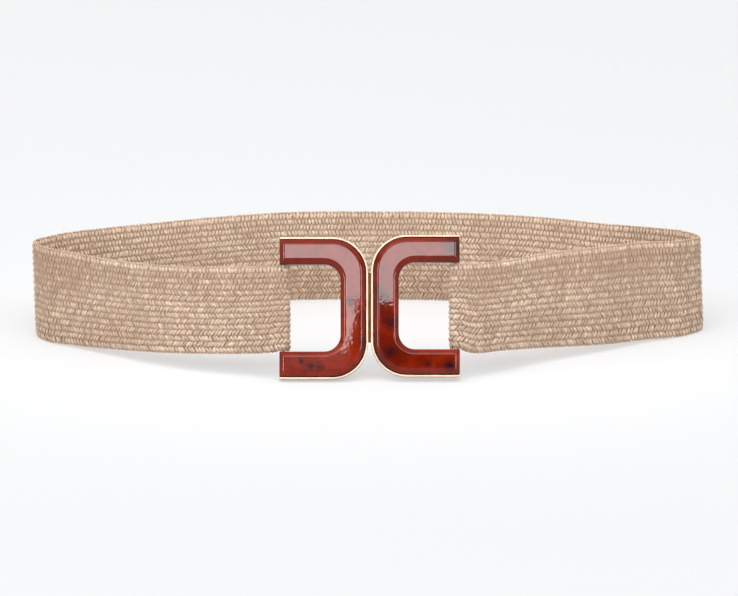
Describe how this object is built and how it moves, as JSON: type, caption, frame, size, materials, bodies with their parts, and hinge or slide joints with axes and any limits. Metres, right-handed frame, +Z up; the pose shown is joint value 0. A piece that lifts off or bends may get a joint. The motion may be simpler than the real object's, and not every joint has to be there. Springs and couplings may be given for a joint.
{
  "type": "stretch belt",
  "caption": "Fastened woven stretch belt standing on its lower edge, with a two-part U-shaped buckle of bevelled resin in thin gold metal trays.",
  "frame": {"origin": "on the floor under the middle of the footprint", "axes": "+X to the wearer's left along the buckle, -Y towards the buckle's face, +Z up from the lower edge"},
  "size_m": [0.3404, 0.131, 0.0667],
  "materials": {
    "woven_jute": "matte ribbed weave of natural jute-like yarn",
    "gold_metal": "polished pale gold plating",
    "tortoise_resin": "glossy red-brown resin with dark tortoiseshell spots"
  },
  "bodies": {
    "root": {"band": "woven_jute", "left_frame": "gold_metal", "right_frame": "gold_metal", "left_inlay": "tortoise_resin", "right_inlay": "tortoise_resin", "clasp_plate": "gold_metal"}
  },
  "joints": []
}
